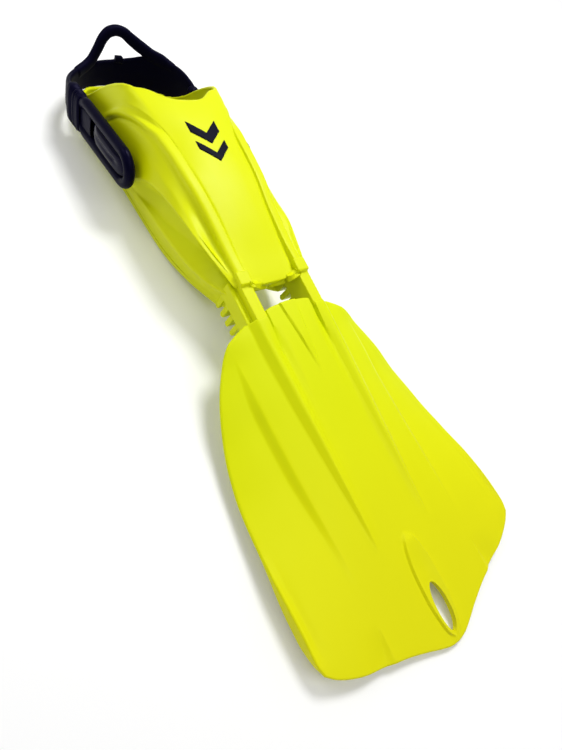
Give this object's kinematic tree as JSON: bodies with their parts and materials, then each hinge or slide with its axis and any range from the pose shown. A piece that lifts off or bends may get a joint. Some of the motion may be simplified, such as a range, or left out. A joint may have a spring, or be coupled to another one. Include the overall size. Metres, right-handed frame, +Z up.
{
  "type": "swim fin",
  "caption": "Open-heel swim fin with a wide blade on two flexing toothed arms, a foot pocket and an elastic bungee heel strap with a finger loop.",
  "frame": {"origin": "on the flat underside of the sole, in the middle plane, 0.165 m behind the blade's root", "axes": "+X from the heel to the blade's tip, +Y across the fin, +Z up from the sole through the instep"},
  "size_m": [0.6161, 0.2253, 0.0901],
  "materials": {
    "fin_yellow": "satin moulded thermoplastic",
    "fin_yellow_blade": "satin moulded thermoplastic",
    "footbed_rubber": "matt moulded rubber",
    "mark_navy": "inlaid mark",
    "strap_rubber": "smooth moulded rubber",
    "cuff_rubber": "ribbed moulded rubber",
    "bungee_cord": "smooth elastic cord",
    "button_plastic": "glossy moulded plastic",
    "retainer_plastic": "moulded ring"
  },
  "bodies": {
    "pocket": {"foot_pocket": "fin_yellow", "foot_plate": "fin_yellow", "footbed": "footbed_rubber", "instep_mark": "mark_navy", "left_arm": "fin_yellow", "right_arm": "fin_yellow"},
    "blade": {"blade": "fin_yellow_blade"},
    "loops": {"left_bungee": "bungee_cord", "right_bungee": "bungee_cord", "left_button": "button_plastic", "right_button": "button_plastic", "left_retainer": "retainer_plastic", "right_retainer": "retainer_plastic"},
    "strap": {"heel_strap": "strap_rubber", "left_cuff": "cuff_rubber", "right_cuff": "cuff_rubber"}
  },
  "joints": [
    {"name": "blade_flex", "type": "hinge", "parent": "pocket", "child": "blade", "pos_m": [0.15, 0, 0.048], "axis": [0, 1, 0], "range_deg": [-25, 25], "stiffness_Nm_per_rad": 30, "deforming": ["left_arm", "right_arm"]},
    {"name": "strap_swing", "type": "hinge", "parent": "pocket", "child": "loops", "pos_m": [-0.035, 0, 0.041], "axis": [0, 1, 0], "range_deg": [-6, 90]},
    {"name": "strap_pull", "type": "slide", "parent": "loops", "child": "strap", "axis": [-0.9914, 0, -0.1305], "range_m": [0, 0.05], "stiffness_N_per_m": 300, "deforming": ["left_bungee", "right_bungee"]}
  ]
}
